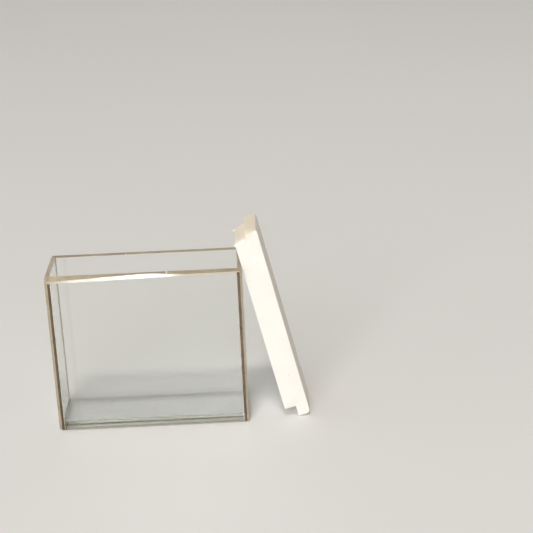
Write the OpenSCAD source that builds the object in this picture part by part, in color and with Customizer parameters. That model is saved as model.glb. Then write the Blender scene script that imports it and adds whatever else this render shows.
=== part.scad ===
// Rectangular glass cuvette, open at the top, with its stepped lid taken off
// and leaning on the rim at one end.
// Frame: origin at the centre of the cell's underside, X along the light path
// towards the lid, Y across the side panes, Z up. Millimetres.

/* [Cell] */
// Light path, which is the clear length between the two end windows
path_length = 50; // [20:0.5:100]
// Clear width between the two side panes
inner_width = 14; // [8:0.5:30]
// Height from the underside to the rim
cell_height = 45; // [30:0.5:80]
// Thickness of each end window
window_t = 1.25; // [1:0.05:3]
// Thickness of each side pane
pane_t = 2; // [1:0.1:4]
// Thickness of the base
base_t = 2; // [1:0.1:5]

/* [Ground edges] */
// Bevel along the four upright outer edges
upright_bevel = 0.6; // [0.1:0.05:0.9]
// Bevel along the rim's outer edge, over each side pane
pane_rim_bevel = 0.6; // [0.1:0.05:0.9]
// Bevel along the rim's outer edge, over each end window
window_rim_bevel = 0.2; // [0.1:0.05:0.9]
// Bevel round the underside
foot_bevel = 0.3; // [0.1:0.05:0.9]

/* [Lid] */
// Depth of the plug that enters the mouth
plug_t = 3.2; // [1:0.1:8]
// Thickness of the flange that stays above the rim
flange_t = 3.4; // [1.5:0.1:8]
// How far the flange passes the plug at each end
flange_overhang = 3.1; // [1.5:0.1:8]
// Gap between the plug and each end window when the lid is on
plug_end_gap = 0.1; // [0.05:0.05:0.5]
// Gap between the lid and each side pane when the lid is on
lid_side_gap = 0.2; // [0.05:0.05:0.5]
// Radius of the worn corner at the flange's lower end
corner_r = 1.2; // [0.2:0.1:1.5]

/* [Resting place] */
// Lean of the lid from upright, in degrees
lean = 13; // [5:0.5:25]
// Air left between the leaning lid and the cell
lean_gap = 0.05; // [0.02:0.01:0.3]

/* [Hidden] */
$fn = 64;

// Outer size of the cell
cell_length = path_length + 2 * window_t;
cell_width = inner_width + 2 * pane_t;

// Size of the lid, from the mouth that it fits
lid_width = inner_width - 2 * lid_side_gap;
plug_length = path_length - 2 * plug_end_gap;
flange_length = plug_length + 2 * flange_overhang;

// The lid stands on the inner edge of its flange. Its plug touches the cell where
// the end window meets the rim's bevel, or with its own top corner if the lid is shorter.
foot_drop = plug_t * sin(lean);
touch_height = cell_height - window_rim_bevel;
touch_along_lid = min((touch_height + foot_drop) / cos(lean), flange_length - flange_overhang);
lid_x = cell_length / 2 + lean_gap / cos(lean) + touch_along_lid * sin(lean);

// How far a cutting solid runs past the face that it opens
cut_past = 1;

// A rectangle standing on the X axis, with its two upper corners and its two feet cut off
module bevelled_upright(width, height, rim_bevel) {
    x = width / 2;
    polygon([
        [-x + foot_bevel, 0],
        [x - foot_bevel, 0],
        [x, foot_bevel],
        [x, height - rim_bevel],
        [x - rim_bevel, height],
        [-x + rim_bevel, height],
        [-x, height - rim_bevel],
        [-x, foot_bevel]
    ]);
}

// A rectangle centred on the origin with all four corners cut off
module bevelled_plan(length, width, bevel) {
    x = length / 2;
    y = width / 2;
    polygon([
        [-x + bevel, -y],
        [x - bevel, -y],
        [x, -y + bevel],
        [x, y - bevel],
        [x - bevel, y],
        [-x + bevel, y],
        [-x, y - bevel],
        [-x, -y + bevel]
    ]);
}

// The cell's outside, with its upright edges, its underside's edge and the rim's outer edge ground off
module cell_block() {
    intersection() {
        linear_extrude(cell_height)
            bevelled_plan(cell_length, cell_width, upright_bevel);
        rotate([90, 0, 0])
            linear_extrude(cell_width, center = true)
                bevelled_upright(cell_length, cell_height, window_rim_bevel);
        rotate([90, 0, 90])
            linear_extrude(cell_length, center = true)
                bevelled_upright(cell_width, cell_height, pane_rim_bevel);
    }
}

// The space for the sample, open at the top
module sample_space() {
    translate([-path_length / 2, -inner_width / 2, base_t])
        cube([path_length, inner_width, cell_height - base_t + cut_past]);
}

module cell() {
    color([0.86, 0.9, 0.88, 0.4])
        difference() {
            cell_block();
            sample_space();
        }
}

// The flange seen from its side, outer face towards +X, with its lower outer corner rounded
module flange_side() {
    corner_x = flange_t - corner_r;
    difference() {
        square([flange_t, flange_length]);
        translate([corner_x, 0])
            square(corner_r);
    }
    intersection() {
        translate([corner_x, 0])
            square(corner_r);
        translate([corner_x, corner_r])
            circle(corner_r);
    }
}

// The whole lid seen from its side, standing on one end
module lid_side() {
    translate([0, flange_overhang])
        square([plug_t, plug_length]);
    translate([plug_t, 0])
        flange_side();
}

module lid() {
    color([0.96, 0.95, 0.91])
        translate([lid_x, 0, -foot_drop])
            rotate([0, -lean, 0])
                rotate([90, 0, 0])
                    linear_extrude(lid_width, center = true)
                        lid_side();
}

cell();
lid();
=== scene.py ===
"""Visual model of a clear glass cuvette with its white stepped lid leaning on the rim at one end.

The cell and the lid are each one dense mesh, built round the CAD boxes: the cell's rings climb its
outside, cross the ground rim and go down its inside; the lid's rings cross it from its near side to
its far side. Metres, in the frame of the CAD model.
"""
import math

import bpy
from mathutils import Matrix, Quaternion, Vector, noise


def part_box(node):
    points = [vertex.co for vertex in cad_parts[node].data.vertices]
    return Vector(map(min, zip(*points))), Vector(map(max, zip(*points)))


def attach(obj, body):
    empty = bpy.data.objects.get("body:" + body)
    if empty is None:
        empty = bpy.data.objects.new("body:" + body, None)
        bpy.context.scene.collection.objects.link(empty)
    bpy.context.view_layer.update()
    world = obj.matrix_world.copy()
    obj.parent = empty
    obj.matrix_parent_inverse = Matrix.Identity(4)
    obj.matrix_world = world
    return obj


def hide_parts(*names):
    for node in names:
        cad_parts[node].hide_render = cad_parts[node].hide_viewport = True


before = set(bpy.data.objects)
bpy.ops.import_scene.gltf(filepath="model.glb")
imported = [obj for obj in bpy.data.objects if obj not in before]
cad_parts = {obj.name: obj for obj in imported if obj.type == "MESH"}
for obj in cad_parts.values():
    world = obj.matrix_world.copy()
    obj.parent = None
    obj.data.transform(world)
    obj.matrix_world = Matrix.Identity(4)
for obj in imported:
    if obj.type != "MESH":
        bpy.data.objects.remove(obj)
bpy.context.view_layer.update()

MM = 0.001

# ---- Glass cell ----
CELL_LOW, CELL_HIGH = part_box("cell")
CELL_HALF = (CELL_HIGH - CELL_LOW) / 2
CELL_HEIGHT = CELL_HIGH.z
WINDOW_T = 1.25 * MM
PANE_T = 2.0 * MM
BASE_T = 2.0 * MM
# Bevels of the upright edges: front left, front right, back right, back left
UPRIGHT_BEVELS = (0.82 * MM, 0.6 * MM, 0.6 * MM, 0.7 * MM)
UPRIGHT_WAVER = 0.06
UPRIGHT_PITCH = 9 * MM
WALL_RINGS = 16
FOOT_BEVEL = 0.3 * MM
RIM_INNER_BEVEL = 0.06 * MM
CORNER_CUT = 0.15 * MM
FLOOR_FILLET = 0.25 * MM
RING_STEP = 0.15 * MM
# The rim was ground by hand. Over the front pane its outer edge drops most at the left end: a wide
# shallow slope comes down to a steep bevel, which is widest in the middle and narrow on the right.
FRONT_DROP_LEFT = 1.4 * MM
FRONT_DROP_RIGHT = 0.5 * MM
FRONT_BEVEL_LEFT = 0.45 * MM
FRONT_BEVEL_MIDDLE = 0.87 * MM
FRONT_BEVEL_RIGHT = 0.27 * MM
FRONT_MIDDLE = 0.5
FRONT_NARROWS_OVER = 0.27
SLOPE_END = 1.8 * MM
BACK_BEVEL = 0.2 * MM
WINDOW_BEVEL = 0.2 * MM
WORN_ARRIS = 0.04 * MM
BEVEL_WAVER = 0.08
# The stretch of the front bevel that was left smooth fades in and out between these places
POLISH = 0.55
POLISH_FADES_IN = (-26 * MM, -17 * MM)
POLISH_FADES_OUT = (6 * MM, 12 * MM)
# The joint of each end window shows through the side panes as a strip beside the upright bevel,
# painted dark brown as shade: its width and how dark it is, for each pane
SHADED_SEAMS = {"front": (0.8 * MM, 1.0), "back": (0.35 * MM, 0.5)}
# The front strips end in a fine pale line, a painted highlight: how far it is ground and how far it is
# painted pale
SEAM_HIGHLIGHT_LINE = (0.7, 0.3)
# How far the ground rim over each side is painted darker as shade, and how far paler as painted light
RIM_SHADE_AND_LIGHT = {"front": (0.14, 0.0), "right": (0.0, 0.1), "back": (0.0, 0.0), "left": (0.0, 0.3)}
# Nicks in the rim: side, place along it, length, depth
NICKS = (
    ("front", 6.2 * MM, 0.5 * MM, 0.08 * MM),
    ("front", -14.5 * MM, 0.5 * MM, 0.15 * MM),
    ("front", 19.0 * MM, 0.4 * MM, 0.1 * MM),
    ("back", 5.5 * MM, 0.5 * MM, 0.1 * MM),
    ("back", -12.0 * MM, 0.4 * MM, 0.12 * MM),
    ("left", -3.1 * MM, 0.5 * MM, 0.15 * MM),
)
# Chips that broke white in the rim: side, place along it, length on its outer half and on its inner half
CHIPS = (
    ("front", 6.2 * MM, 0.45 * MM, 0.3 * MM),
    ("back", 5.5 * MM, 0.0, 0.45 * MM),
)

# ---- Lid ----
LID_LOW, LID_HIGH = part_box("lid")
LID_HALF = (LID_HIGH.y - LID_LOW.y) / 2
LEAN = math.radians(13)
PLUG_T = 3.2 * MM
FLANGE_T = 3.4 * MM
PLUG_LENGTH = 49.8 * MM
OVERHANG = 3.1 * MM
PLUG_TOP = OVERHANG + PLUG_LENGTH
FLANGE_LENGTH = PLUG_LENGTH + 2 * OVERHANG
WORN_CORNER_R = 1.2 * MM
TOP_CORNER_R = 0.55 * MM
PROFILE_R = 0.28 * MM
NOTCH_R = 0.08 * MM
EDGE_R = 0.16 * MM
EDGE_WAVER = 0.05 * MM
OUTLINE_STEP = 0.22 * MM
LID_ROWS = 72
EDGE_TURNS = (90, 60, 30, 0)
MILL_DEPTH = 0.006 * MM
MILL_PITCH = 0.3 * MM
# What lies further through the thickness than this belongs to the flange, mill marks counted
FLANGE_STARTS = PLUG_T + MILL_DEPTH * 2
# The plug's top end was cut by hand, and stands higher at the flange than at its free corner. Heights
# over the plain end at the free corner and at the flange, on the near side and on the far side:
END_RISE_NEAR = (1.2 * MM, 1.85 * MM)
END_RISE_FAR = (0.4 * MM, 1.05 * MM)
END_BLEND = 2.0 * MM
# The plug end's near edge is rubbed round over this width, down by this depth
RUBBED_WIDTH = 3.4 * MM
RUBBED_DEPTH = 0.75 * MM
# The flange's near top edge is rubbed down with it, by this much at the plug and not at the outer face
FLANGE_RUBBED_DEPTH = 1.25 * MM
# The lip raised along the plug end's far edge: height and width
LIP = (0.15 * MM, 0.5 * MM)
# Burrs left at the plug's top corners: side of the lid, height of the root over the plain end, reach
# through the thickness and along the lid, and radius of the root
BURRS = (
    (1, 0.4 * MM, -1.15 * MM, -0.6 * MM, 0.9 * MM),
    (-1, 0.35 * MM, -0.42 * MM, 0.1 * MM, 0.7 * MM),
)
# The far burr is kept out of the stain and painted shade up to this distance from the corner
BURR_CLEAN_UNSHADED = 1.2 * MM
# The dark speck on the near face: place through the thickness and along the lid, and radius
SPECK = (3.7 * MM, 13.0 * MM, 0.14 * MM)
# A spot of painted shade on the near face beside the top step, in the same terms
STEP_SHADE = (3.6 * MM, 55.6 * MM, 2.4 * MM)
# How far the outer face is tinted as painted shade, where the sawn ends, partly stain and partly painted
# shade, count as 1
OUTER_FACE_SHADE = 0.42
# The rubbed near edge of the plug's top end is kept out of the stain and painted shade over this width
CLEAN_UNSHADED_WIDTH = 1.4 * MM

# ---- Random wavering ----
# Each wavering edge reads the noise along its own row
WAVER_PITCH = 2.5 * MM
WAVER_ROW_STEP = 7.3
WAVER_SLICE = 1.7
MILL_SLICE = 2.1
NEAR_EDGE_ROW = 3
FAR_EDGE_ROW = 5
FIRST_UPRIGHT_ROW = 11

# ---- Colours of the glass, the lid and the floor: pairs are the two ends of a mottled tone ----
CLEAR_GLASS = (0.99, 0.995, 0.99, 1)
GROUND_TONES = ((0.50, 0.405, 0.28, 1), (0.67, 0.57, 0.42, 1))
# The dark joint strips and the darker front rim: painted shade
SEAM_AND_SHADE_TONES = ((0.10, 0.068, 0.044, 1), (0.17, 0.122, 0.082, 1))
# White of fresh chips, also used as painted light on the window rims and as a painted highlight along the
# joint lines
CHIP_AND_LIGHT_COLOUR = (0.95, 0.93, 0.89, 1)
GLASS_TINT = (0.60, 0.68, 0.62, 1)
GLASS_TINT_DENSITY = 26.0
PTFE_TONES = ((0.84, 0.832, 0.80, 1), (0.875, 0.87, 0.842, 1))
# Tan of the lid's ends and outer face: partly stain, partly painted shade
STAIN_AND_SHADE_TONES = ((0.84, 0.755, 0.615, 1), (0.92, 0.85, 0.73, 1))
# Painted shade beside the top step
STEP_SHADE_COLOUR = (0.80, 0.74, 0.64, 1)
MILL_MARK_COLOUR = (0.66, 0.61, 0.53, 1)
DOT_COLOUR = (0.42, 0.36, 0.28, 1)
SPECK_COLOUR = (0.20, 0.16, 0.12, 1)
FLOOR_TONES = ((0.84, 0.855, 0.875, 1), (0.87, 0.885, 0.905, 1))
# Scales of the noise that mottles, frosts and streaks them
GRAIN_SCALE = 6000
CLOUD_SCALE = 350
FILM_SCALE = 120
STREAK_SCALE = 5000
STREAK_STRETCH = (1.0, 1.0, 0.02)
PTFE_CLOUD_SCALE = 160
MOTTLE_SCALE = 2200
DOT_SCALE = 420.0
FLOOR_CLOUD_SCALE = 3
# The middle of the range of a noise value, which most of it falls in
NOISE_LOW, NOISE_HIGH = 0.3, 0.7

# ---- View, light and floor ----
AIM = Vector((32.9, 0, 42.25)) * MM
VIEW_DISTANCE = 375 * MM
VIEW_AZIMUTH = math.radians(-0.3)
VIEW_ELEVATION = math.radians(21.2)
VIEW_ROLL = math.radians(-2.6)
LENS = 93.4
CLIP_START = 0.01
CLIP_END = 20
FLOOR_SIZE = 6.0
FLOOR_GAP = 0.02 * MM
GLASS_BOUNCES = 24
# The lamps: direction from the object, distance, size, power and colour. The front bevel mirrors the
# highlight lamp into the camera.
KEY_LAMP = ((-0.2, -0.91, 0.37), 3.0, (2.0, 2.0), 60, (1.0, 0.98, 0.94))
HIGHLIGHT_LAMP = ((-0.088, -0.361, 0.928), 2.0, (0.28, 0.28), 11, (1.0, 0.93, 0.82))
# The surroundings: colours, where left fades to right, and where the horizon fades to what is above
HORIZON_COLOUR = (0.66, 0.65, 0.63, 1)
LEFT_COLOUR = (0.48, 0.47, 0.45, 1)
RIGHT_COLOUR = (0.14, 0.105, 0.07, 1)
LEFT_FADE = (0.7, -0.5)
HIGH_FADE = (0.08, 0.3)

# Sides of the cell in order round it, each with the way its edge runs and the way it faces
SIDES = {
    "front": (Vector((1, 0)), Vector((0, -1))),
    "right": (Vector((0, 1)), Vector((1, 0))),
    "back": (Vector((-1, 0)), Vector((0, 1))),
    "left": (Vector((0, -1)), Vector((-1, 0))),
}


def mix(a, b, share):
    return a + (b - a) * share


def smooth(x):
    """0 below 0, 1 above 1, and an S curve between."""
    x = min(max(x, 0.0), 1.0)
    return x * x * (3 - 2 * x)


def waver(place, row, pitch=WAVER_PITCH):
    """Smooth random value between about -1 and 1 that changes every pitch along an edge."""
    return noise.noise(Vector((place / pitch, WAVER_ROW_STEP * row, WAVER_SLICE)))


def new_object(name, points, faces, material):
    mesh = bpy.data.meshes.new(name)
    mesh.from_pydata(points, [], faces)
    mesh.materials.append(material)
    mesh.validate()
    piece = bpy.data.objects.new(name, mesh)
    bpy.context.scene.collection.objects.link(piece)
    return piece


def quad(row, i, count):
    """The face between two neighbouring rings of count points each, at the ring's point i."""
    j = (i + 1) % count
    low, high = row * count, (row + 1) * count
    return low + i, low + j, high + j, high + i


def mark_faces(piece, name, values):
    """Give each face a value that the material reads under this name."""
    mark = piece.data.attributes.new(name, "FLOAT", "FACE")
    mark.data.foreach_set("value", values)


# ---- Node trees ----
class Nodes:
    """A short way to write a node tree."""

    def __init__(self, tree):
        self.tree = tree
        tree.nodes.clear()

    def add(self, kind, inputs=None, **settings):
        node = self.tree.nodes.new("ShaderNode" + kind)
        for name, value in settings.items():
            setattr(node, name, value)
        for name, value in (inputs or {}).items():
            if isinstance(value, bpy.types.NodeSocket):
                self.tree.links.new(value, node.inputs[name])
            else:
                node.inputs[name].default_value = value
        return node

    def noise(self, vector, scale, detail=2.0, roughness=0.5):
        inputs = {"Vector": vector, "Scale": scale, "Detail": detail, "Roughness": roughness}
        return self.add("TexNoise", inputs).outputs["Fac"]

    def remap(self, value, low, high, to_low, to_high):
        inputs = {"Value": value, "From Min": low, "From Max": high, "To Min": to_low, "To Max": to_high}
        return self.add("MapRange", inputs).outputs["Result"]

    def spread(self, value, to_low=0.0, to_high=1.0):
        """A noise value with the middle of its range spread over the range given."""
        return self.remap(value, NOISE_LOW, NOISE_HIGH, to_low, to_high)

    def mark(self, name):
        """The value that the faces carry under this name."""
        return self.add("Attribute", attribute_name=name).outputs["Fac"]

    def math(self, operation, a, b=0.0):
        return self.add("Math", {0: a, 1: b}, operation=operation).outputs["Value"]

    def blend(self, share, a, b, kind="MIX"):
        node = self.add("Mix", data_type="RGBA", blend_type=kind)
        for socket, value in ((node.inputs[0], share), (node.inputs[6], a), (node.inputs[7], b)):
            if isinstance(value, bpy.types.NodeSocket):
                self.tree.links.new(value, socket)
            else:
                socket.default_value = value
        return node.outputs[2]


def new_material(name):
    material = bpy.data.materials.new(name)
    material.use_nodes = True
    return material, Nodes(material.node_tree)


def glass_material():
    """Clear glass. Its ground faces are frosted tan, and the joints show as dark brown glass, painted as
    shade. The front rim is painted darker as shade, the window rims paler as painted light, and the joint
    lines carry a painted highlight.
    """
    material, n = new_material("cuvette_glass")
    place = n.add("TexCoord").outputs["Object"]
    ground = n.mark("ground")
    # This mark darkens the joint strips and the front rim: painted shade
    seam_and_shade = n.mark("seam_and_shade")
    # This mark whitens chips, and paints light on the window rims and a highlight along the joint lines
    chip_and_light = n.mark("chip_and_light")
    grain = n.noise(place, GRAIN_SCALE, 4.0, 0.6)
    cloud = n.noise(place, CLOUD_SCALE, 3.0, 0.6)
    tone = n.spread(cloud)
    ground_colour = n.blend(tone, *GROUND_TONES)
    seam_and_shade_colour = n.blend(tone, *SEAM_AND_SHADE_TONES)
    colour = n.blend(ground, CLEAR_GLASS, ground_colour)
    colour = n.blend(seam_and_shade, colour, seam_and_shade_colour)
    colour = n.blend(chip_and_light, colour, CHIP_AND_LIGHT_COLOUR)
    film = n.remap(n.noise(place, FILM_SCALE, 4.0, 0.6), 0.45, 0.75, 0.0, 0.03)
    frosted = n.spread(cloud, 0.34, 0.5)
    roughness = n.math("ADD", n.math("MULTIPLY", ground, frosted), film)
    opaque = n.math("ADD", n.math("MULTIPLY", ground, 0.5), n.math("MULTIPLY", seam_and_shade, 0.6))
    opaque = n.math("ADD", opaque, n.math("MULTIPLY", chip_and_light, 0.4))
    frosting = n.math("MULTIPLY", ground, 0.6)
    bump = n.add("Bump", {"Height": grain, "Strength": frosting, "Distance": 0.01 * MM})
    surface = n.add("BsdfPrincipled", {
        "Base Color": colour,
        "Roughness": roughness,
        "Normal": bump.outputs["Normal"],
        "IOR": 1.5,
        "Transmission Weight": n.math("SUBTRACT", 1.0, opaque),
    })
    inside = n.add("VolumeAbsorption", {"Color": GLASS_TINT, "Density": GLASS_TINT_DENSITY})
    n.add("OutputMaterial", {"Surface": surface.outputs["BSDF"], "Volume": inside.outputs["Volume"]})
    return material


def distance_from(n, place, through, up):
    """Distance from a spot on the lid's near face, given through its thickness and along it."""
    spot = lid_to_world() @ Vector((through, -LID_HALF, up))
    return n.add("VectorMath", {0: place, 1: spot}, operation="DISTANCE").outputs["Value"]


def lid_material():
    """Waxy white fluoropolymer with fine mill marks along its length, a dark speck and a few faint ones. Its
    ends and outer face are tan, partly stain and partly painted shade, with a spot of painted shade beside
    the top step.
    """
    material, n = new_material("cuvette_ptfe")
    place = n.add("TexCoord").outputs["Object"]
    along = n.add("Mapping", {"Vector": place, "Rotation": (0, LEAN, 0)}).outputs["Vector"]
    streaks_at = n.add("Mapping", {"Vector": along, "Scale": STREAK_STRETCH}).outputs["Vector"]
    streaks = n.noise(streaks_at, STREAK_SCALE, 3.0, 0.6)
    cloud = n.noise(place, PTFE_CLOUD_SCALE, 4.0, 0.6)
    tone = n.spread(cloud)
    colour = n.blend(tone, *PTFE_TONES)
    # This mark tans the ends and the outer face: partly stain, partly painted shade
    stain_and_shade_mark = n.mark("stain_and_shade")
    mottle = n.spread(n.noise(place, MOTTLE_SCALE, 3.0, 0.6))
    stain_and_shade_colour = n.blend(mottle, *STAIN_AND_SHADE_TONES)
    colour = n.blend(stain_and_shade_mark, colour, stain_and_shade_colour)
    # A spot of painted shade on the near face beside the top step
    through, up, radius = STEP_SHADE
    from_step_shade = distance_from(n, place, through, up)
    colour = n.blend(n.remap(from_step_shade, radius / 4, radius, 1.0, 0.0), colour, STEP_SHADE_COLOUR)
    # The mill grooves are darker, more so where the lid is tan
    in_groove = n.remap(streaks, 0.35, 0.65, 1.0, 0.0)
    groove_darkening = n.remap(stain_and_shade_mark, 0.0, 0.35, 0.08, 0.2)
    colour = n.blend(n.math("MULTIPLY", in_groove, groove_darkening), colour, MILL_MARK_COLOUR)
    dots = n.add("TexVoronoi", {"Vector": place, "Scale": DOT_SCALE}).outputs["Distance"]
    colour = n.blend(n.remap(dots, 0.03, 0.08, 0.35, 0.0), colour, DOT_COLOUR)
    through, up, radius = SPECK
    from_speck = distance_from(n, place, through, up)
    colour = n.blend(n.remap(from_speck, radius / 2, radius, 0.7, 0.0), colour, SPECK_COLOUR)
    roughness = n.spread(streaks, 0.36, 0.5)
    bump = n.add("Bump", {"Height": streaks, "Strength": 0.25, "Distance": 0.02 * MM})
    surface = n.add("BsdfPrincipled", {
        "Base Color": colour,
        "Roughness": roughness,
        "Normal": bump.outputs["Normal"],
        "IOR": 1.38,
        "Subsurface Weight": 0.3,
        "Subsurface Radius": (1.0, 0.9, 0.75),
        "Subsurface Scale": 0.8 * MM,
    })
    n.add("OutputMaterial", {"Surface": surface.outputs["BSDF"]})
    return material


def floor_material():
    material, n = new_material("studio_floor")
    place = n.add("TexCoord").outputs["Object"]
    tone = n.spread(n.noise(place, FLOOR_CLOUD_SCALE, 2.0))
    colour = n.blend(tone, *FLOOR_TONES)
    surface = n.add("BsdfPrincipled", {"Base Color": colour, "Roughness": 0.85, "Specular IOR Level": 0.2})
    n.add("OutputMaterial", {"Surface": surface.outputs["BSDF"]})
    return material


# ---- Cell mesh ----
# A place along a side is measured from its middle, in the direction that goes round the cell.
def is_long(side):
    return side in ("front", "back")


def half_length(side):
    return CELL_HALF.x if is_long(side) else CELL_HALF.y


def steps_along(side):
    return round(2 * half_length(side) / RING_STEP)


def flush(side, place):
    return 0.0


def level(z):
    """The height function of a ring that lies flat."""
    return lambda side, place: z


def cell_ring(margins, cuts, height, inset=flush):
    """Points once round the cell, from the front left corner.

    The ring lies inside the cell's faces by margins, for the end windows and for the side panes, and
    by inset(side, place). cuts are the sizes of its four corner bevels."""
    names = list(SIDES)
    points = []
    for k, side in enumerate(names):
        way, out = SIDES[side]
        before, after = names[k - 1], names[(k + 1) % len(names)]
        end_margin, face_margin = margins if is_long(side) else reversed(margins)
        reach = half_length(side) - end_margin
        start = -reach + inset(before, half_length(before)) + cuts[k]
        finish = reach - inset(after, -half_length(after)) - cuts[(k + 1) % len(names)]
        count = steps_along(side)
        for i in range(count + 1):
            place = mix(start, finish, i / count)
            away = half_length(after) - face_margin - inset(side, place)
            x, y = way * place + out * away
            points.append(Vector((x, y, height(side, place))))
    return points


def front_share(place):
    """0 at the front pane's left end and 1 at its right end."""
    return (place + CELL_HALF.x) / (2 * CELL_HALF.x)


def rim_bevel(side, place):
    """Width of the rim's outer bevel at this place."""
    if side == "front":
        share = front_share(place)
        to_middle = mix(FRONT_BEVEL_LEFT, FRONT_BEVEL_MIDDLE, smooth(share / FRONT_MIDDLE))
        past_middle = (share - FRONT_MIDDLE) / FRONT_NARROWS_OVER
        width = mix(to_middle, FRONT_BEVEL_RIGHT, smooth(past_middle))
    else:
        width = BACK_BEVEL if side == "back" else WINDOW_BEVEL
    return width * (1 + BEVEL_WAVER * waver(place, list(SIDES).index(side)))


def front_slope_drop(place):
    """How far the slope over the front pane has come down where it meets the bevel."""
    whole = mix(FRONT_DROP_LEFT, FRONT_DROP_RIGHT, front_share(place))
    return max(whole - rim_bevel("front", place), WORN_ARRIS)


def slope_drop(side, place):
    """The same on any side: the slope over the front pane also crosses the front ends of both windows."""
    if side == "front":
        return front_slope_drop(place)
    if side == "back":
        return WORN_ARRIS
    end = CELL_HALF.x if side == "right" else -CELL_HALF.x
    from_front = CELL_HALF.y + (place if side == "right" else -place)
    share = (SLOPE_END - from_front) / (SLOPE_END - rim_bevel("front", end))
    return mix(WORN_ARRIS, front_slope_drop(end), min(max(share, 0.0), 1.0))


def slope_inset(side, place):
    return SLOPE_END if side == "front" else rim_bevel(side, place) + WORN_ARRIS


def nick(side, place):
    """Depth of the nicks at this place on the rim."""
    depth = 0.0
    for its_side, middle, length, its_depth in NICKS:
        if side == its_side:
            off = abs(place - middle) / (length / 2)
            depth = max(depth, its_depth * (1 - smooth(off)))
    return depth


def polish(place):
    """0 where the front bevel is fully ground, and up to POLISH where it is smooth."""
    start, full = POLISH_FADES_IN
    fading, gone = POLISH_FADES_OUT
    inside = smooth((place - start) / (full - start)) * (1 - smooth((place - fading) / (gone - fading)))
    return POLISH * inside


def upright_cuts(z):
    """The four upright bevels at this height, each wavering on its own."""
    return [
        bevel * (1 + UPRIGHT_WAVER * waver(z, FIRST_UPRIGHT_ROW + corner, UPRIGHT_PITCH))
        for corner, bevel in enumerate(UPRIGHT_BEVELS)
    ]


def cell_rings():
    """The cell's rings from the underside to its floor, each with the finish of the band above it."""
    top = CELL_HEIGHT
    inner = (WINDOW_T, PANE_T)
    inner_edge = [t - RIM_INNER_BEVEL for t in inner]
    floor_edge = [t + FLOOR_FILLET for t in inner]
    rim_cuts = (CORNER_CUT,) * 4

    def bevel_head(side, place):
        return top - slope_drop(side, place) - nick(side, place) / 2

    def bevel_foot(side, place):
        return top - slope_drop(side, place) - rim_bevel(side, place)

    def nicked(side, place):
        return top - nick(side, place)

    def half_way_in(side, place):
        inner_margin = inner_edge[1] if is_long(side) else inner_edge[0]
        return (slope_inset(side, place) + inner_margin) / 2

    def wall(share):
        def height(side, place):
            return mix(FOOT_BEVEL, bevel_foot(side, place), share)
        return cell_ring((0, 0), upright_cuts(share * top), height)

    rings = [("ground", cell_ring((FOOT_BEVEL, FOOT_BEVEL), UPRIGHT_BEVELS, level(0.0)))]
    rings += [("wall", wall(k / WALL_RINGS)) for k in range(WALL_RINGS)]
    rings += [
        ("bevel", wall(1.0)),
        ("outer rim", cell_ring((0, 0), rim_cuts, bevel_head, rim_bevel)),
        ("outer rim", cell_ring((0, 0), rim_cuts, nicked, slope_inset)),
        ("inner rim", cell_ring((0, 0), rim_cuts, nicked, half_way_in)),
        ("ground", cell_ring(inner_edge, rim_cuts, nicked)),
        ("inner wall", cell_ring(inner, rim_cuts, level(top - RIM_INNER_BEVEL))),
        ("clear", cell_ring(inner, rim_cuts, level(BASE_T + FLOOR_FILLET))),
        ("clear", cell_ring(floor_edge, rim_cuts, level(BASE_T))),
    ]
    return rings


def chipped(band, side, place):
    for its_side, middle, outer_length, inner_length in CHIPS:
        length = outer_length if band == "outer rim" else inner_length
        if side == its_side and abs(place - middle) < length / 2:
            return True
    return False


def finish_of(band, side, step, place):
    """How far a face is ground, how far it is darkened by the joint behind it and by painted shade, and how
    far it is paled by chips, painted light and a painted highlight.
    """
    corner = step == steps_along(side)
    if band in ("outer rim", "inner rim"):
        # dark is painted shade and pale is painted light over this side; chips are white
        dark, pale = RIM_SHADE_AND_LIGHT[side]
        return 1.0, dark, (1.0 if chipped(band, side, place) else pale)
    if band == "ground" or (corner and band in ("wall", "inner wall")):
        return 1.0, 0.0, 0.0
    if band == "bevel":
        return (1 - polish(place) if side == "front" else 1.0), 0.0, 0.0
    # The joint strips, darkened as painted shade
    if band == "wall" and side in SHADED_SEAMS:
        width, darkness = SHADED_SEAMS[side]
        seam_steps = round(width / RING_STEP)
        if step < seam_steps or step >= steps_along(side) - seam_steps:
            return 0.0, darkness, 0.0
        # The pale line at each front strip's end is a painted highlight
        if side == "front" and step in (seam_steps, steps_along(side) - seam_steps - 1):
            line_ground, line_highlight = SEAM_HIGHLIGHT_LINE
            return line_ground, 0.0, line_highlight
    return 0.0, 0.0, 0.0


def build_cell():
    rings = cell_rings()
    count = len(rings[0][1])
    steps = [(side, step) for side in SIDES for step in range(steps_along(side) + 1)]
    points = [p for band, ring in rings for p in ring]
    underside = tuple(reversed(range(count)))
    inner_floor = tuple(range(len(points) - count, len(points)))
    faces = [underside, inner_floor]
    finishes = [(0.0, 0.0, 0.0), (0.0, 0.0, 0.0)]
    for row, (band, ring) in enumerate(rings[:-1]):
        for i, (side, step) in enumerate(steps):
            faces.append(quad(row, i, count))
            way = SIDES[side][0]
            finishes.append(finish_of(band, side, step, ring[i].xy.dot(way)))
    piece = new_object("cell_glass", points, faces, glass_material())
    for name, values in zip(("ground", "seam_and_shade", "chip_and_light"), zip(*finishes)):
        mark_faces(piece, name, values)
    return piece


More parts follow.
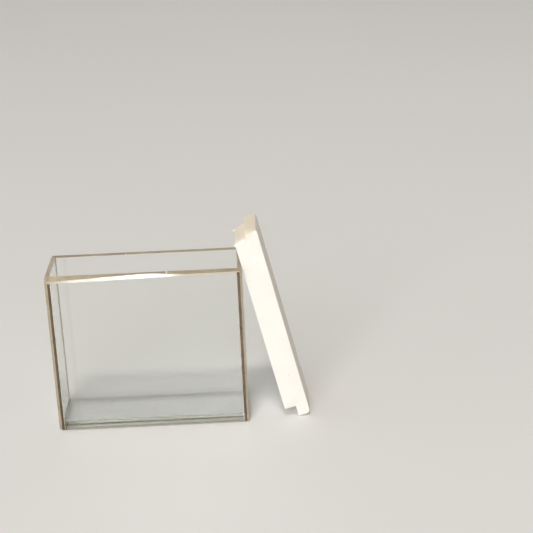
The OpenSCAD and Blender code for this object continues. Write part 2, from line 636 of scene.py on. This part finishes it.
# ---- Lid mesh ----
# The lid's own axes: u through its thickness from the plug to the flange, v along it, y across it.
def rounded_outline(corners):
    """Evenly spaced points round an outline whose corners, given as (u, v, radius), are rounded."""
    count = len(corners)
    outline = []
    for i in range(count):
        before = Vector(corners[i - 1][:2])
        here = Vector(corners[i][:2])
        after = Vector(corners[(i + 1) % count][:2])
        radius = corners[i][2]
        start = here + (before - here).normalized() * radius
        end = here + (after - here).normalized() * radius
        centre = start + end - here
        steps = max(3, math.ceil(radius * math.pi / 2 / OUTLINE_STEP))
        for k in range(steps + 1):
            turn = k / steps * math.pi / 2
            outline.append(centre + (start - centre) * math.cos(turn) + (end - centre) * math.sin(turn))
        following = corners[(i + 1) % count]
        next_start = after + (here - after).normalized() * following[2]
        gap = (next_start - end).length
        parts = max(1, round(gap / OUTLINE_STEP))
        outline += [end.lerp(next_start, k / parts) for k in range(1, parts)]
    return outline


def outward_normals(outline):
    """Unit normals of an outline that goes anticlockwise."""
    normals = []
    for i in range(len(outline)):
        along = outline[(i + 1) % len(outline)] - outline[i - 1]
        normals.append(Vector((along.y, -along.x)).normalized())
    return normals


def lid_outline():
    total_t = PLUG_T + FLANGE_T
    return rounded_outline([
        (PLUG_T, 0, PROFILE_R),
        (total_t, 0, WORN_CORNER_R),
        (total_t, FLANGE_LENGTH, TOP_CORNER_R),
        (PLUG_T, FLANGE_LENGTH, PROFILE_R),
        (PLUG_T, PLUG_TOP, NOTCH_R),
        (0, PLUG_TOP, PROFILE_R),
        (0, OVERHANG, PROFILE_R),
        (PLUG_T, OVERHANG, NOTCH_R),
    ])


def lid_to_world():
    """From the lid's own axes to its leaning place."""
    lean = Matrix.Rotation(-LEAN, 4, "Y")
    plug_corner = lean @ Vector((0, 0, PLUG_TOP))
    foot = lean @ Vector((PLUG_T, 0, 0))
    return Matrix.Translation((LID_LOW.x - plug_corner.x, 0, -foot.z)) @ lean


def rubbed_share(y):
    """How far the rubbed near edge has come down here: 0 from its own width inwards, 1 at the near side."""
    rubbed = min(max(1 - (y + LID_HALF) / RUBBED_WIDTH, 0.0), 1.0)
    return 1 - math.sqrt(1 - rubbed * rubbed)


def flange_drop(point):
    """How far the flange's rubbed top end lies under the plain end here."""
    u, y, v = point
    share = min(max((v - PLUG_TOP) / (FLANGE_LENGTH - PLUG_TOP), 0.0), 1.0)
    outwards = min(max((u - PLUG_T) / FLANGE_T, 0.0), 1.0)
    return FLANGE_RUBBED_DEPTH * share * (1 - outwards) * rubbed_share(y)


def end_rise(point):
    """How far the hand-cut top end of the plug stands over the plain end here."""
    u, y, v = point
    if u > FLANGE_STARTS:
        return 0.0
    if v < PLUG_TOP:
        share = smooth(1 - (PLUG_TOP - v) / END_BLEND)
    else:
        share = (FLANGE_LENGTH - TOP_CORNER_R - v) / (FLANGE_LENGTH - TOP_CORNER_R - PLUG_TOP)
    inwards = smooth(u / PLUG_T)
    near = mix(*END_RISE_NEAR, inwards)
    far = mix(*END_RISE_FAR, inwards)
    drop = RUBBED_DEPTH * rubbed_share(y)
    lip_height, lip_width = LIP
    lip = lip_height * smooth(1 - (LID_HALF - y) / lip_width)
    height = mix(near, far, (y + LID_HALF) / (2 * LID_HALF)) - drop + lip
    return height * max(share, 0.0)


def burr(point):
    """How far the burrs pull this point of the lid out."""
    pull = Vector((0, 0, 0))
    for end, rise, through, along, radius in BURRS:
        root = Vector((0, end * LID_HALF, PLUG_TOP + rise))
        share = smooth(1 - (point - root).length / radius)
        pull += share * Vector((through, 0, along))
    return pull


def lid_rows():
    """Each row's place across the lid, from -1 to 1, and its turn round the edge (None between edges)."""
    inner_rows = LID_ROWS - 2 * len(EDGE_TURNS)
    rows = [(-1, math.radians(turn)) for turn in EDGE_TURNS]
    rows += [(mix(-1, 1, k / (inner_rows + 1)), None) for k in range(1, inner_rows + 1)]
    rows += [(1, math.radians(turn)) for turn in reversed(EDGE_TURNS)]
    return rows


def stain_and_shade_of(normal, centre, end, turn):
    """How far a face is tan, partly stain and partly painted shade: most on the sawn ends, less on the outer
    face, fading over the edges. The rubbed near edge of the plug's top end is kept out of it, and so is the
    burr at its far corner."""
    across, along = normal.normalized()
    amount = max(abs(along), OUTER_FACE_SHADE * max(across, 0.0))
    if centre.x < PLUG_T and centre.y > PLUG_TOP - PROFILE_R:
        amount *= smooth((1 + end) * LID_HALF / CLEAN_UNSHADED_WIDTH)
        amount *= smooth(math.hypot((1 - end) * LID_HALF, centre.x) / BURR_CLEAN_UNSHADED)
    return amount * (1.0 if turn is None else math.cos(turn))


def build_lid():
    outline = lid_outline()
    normals = outward_normals(outline)
    place = lid_to_world()
    rows = lid_rows()
    points = []
    for end, turn in rows:
        for i, (p, normal) in enumerate(zip(outline, normals)):
            radius = EDGE_R + EDGE_WAVER * waver(i * OUTLINE_STEP, NEAR_EDGE_ROW if end < 0 else FAR_EDGE_ROW)
            if turn is None:
                y = end * (LID_HALF - EDGE_R - EDGE_WAVER)
                inset = MILL_DEPTH * (1 + noise.noise(Vector((y / MILL_PITCH, MILL_SLICE, 0))))
            else:
                y = end * (LID_HALF - radius * (1 - math.sin(turn)))
                inset = radius * (1 - math.cos(turn))
            q = p - normal * inset
            point = Vector((q.x, y, q.y))
            point.z += end_rise(point) - flange_drop(point)
            points.append(place @ (point + burr(point)))

    count = len(outline)
    faces = [tuple(reversed(range(count)))]
    stain_and_shade_values = [0.0]
    for row in range(len(rows) - 1):
        for i in range(count):
            j = (i + 1) % count
            faces.append(quad(row, i, count))
            end, turn = rows[row]
            stain_and_shade_values.append(stain_and_shade_of(normals[i] + normals[j], (outline[i] + outline[j]) / 2, end, turn))
    faces.append(tuple(range((len(rows) - 1) * count, len(rows) * count)))
    stain_and_shade_values.append(0.0)
    piece = new_object("lid_ptfe", points, faces, lid_material())
    mark_faces(piece, "stain_and_shade", stain_and_shade_values)
    piece.data.shade_smooth()
    return piece


# ---- Stage ----
def build_floor():
    half = FLOOR_SIZE / 2
    z = -FLOOR_GAP
    corners = [(-half, -half, z), (half, -half, z), (half, half, z), (-half, half, z)]
    floor = new_object("studio_floor", corners, [(0, 1, 2, 3)], floor_material())


def add_camera():
    away = Vector((
        math.sin(VIEW_AZIMUTH) * math.cos(VIEW_ELEVATION),
        -math.cos(VIEW_AZIMUTH) * math.cos(VIEW_ELEVATION),
        math.sin(VIEW_ELEVATION),
    ))
    camera = bpy.data.objects.new("camera", bpy.data.cameras.new("camera"))
    camera.data.lens = LENS
    camera.data.clip_start = CLIP_START
    camera.data.clip_end = CLIP_END
    camera.location = AIM + away * VIEW_DISTANCE
    camera.rotation_mode = "QUATERNION"
    camera.rotation_quaternion = (-away).to_track_quat("-Z", "Y") @ Quaternion((0, 0, 1), VIEW_ROLL)
    bpy.context.scene.collection.objects.link(camera)
    bpy.context.scene.camera = camera


def add_lamp(name, towards, distance, size, power, colour):
    """A soft square lamp that shines on the object from the direction given."""
    data = bpy.data.lights.new(name, "AREA")
    data.shape = "RECTANGLE"
    data.size, data.size_y = size
    data.energy = power
    data.color = colour
    lamp = bpy.data.objects.new(name, data)
    direction = Vector(towards).normalized()
    lamp.location = AIM + direction * distance
    lamp.rotation_mode = "QUATERNION"
    lamp.rotation_quaternion = direction.to_track_quat("Z", "Y")
    bpy.context.scene.collection.objects.link(lamp)


def add_surroundings():
    """Pale at the horizon. Higher up it is pale on the left, and darker and warmer on the right."""
    world = bpy.data.worlds.new("studio")
    world.use_nodes = True
    bpy.context.scene.world = world
    n = Nodes(world.node_tree)
    direction = n.add("TexCoord").outputs["Generated"]
    split = n.add("SeparateXYZ", {"Vector": direction})
    left = n.remap(split.outputs["X"], *LEFT_FADE, 0.0, 1.0)
    high = n.remap(split.outputs["Z"], *HIGH_FADE, 0.0, 1.0)
    colour = n.blend(left, RIGHT_COLOUR, LEFT_COLOUR)
    colour = n.blend(high, HORIZON_COLOUR, colour)
    background = n.add("Background", {"Color": colour, "Strength": 1.0})
    n.add("OutputWorld", {"Surface": background.outputs["Background"]})


def set_light_paths():
    """Let light through the panes unblurred, and let it reflect often enough inside them to come out."""
    cycles = bpy.context.scene.cycles
    cycles.blur_glossy = 0.0
    cycles.max_bounces = GLASS_BOUNCES
    cycles.glossy_bounces = GLASS_BOUNCES
    cycles.transmission_bounces = GLASS_BOUNCES


add_camera()
add_surroundings()
add_lamp("key", *KEY_LAMP)
add_lamp("highlight", *HIGHLIGHT_LAMP)
build_floor()

cell = build_cell()
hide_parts("cell")
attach(cell, "root")

lid = build_lid()
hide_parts("lid")
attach(lid, "root")

set_light_paths()
bpy.context.scene.view_settings.view_transform = "Standard"
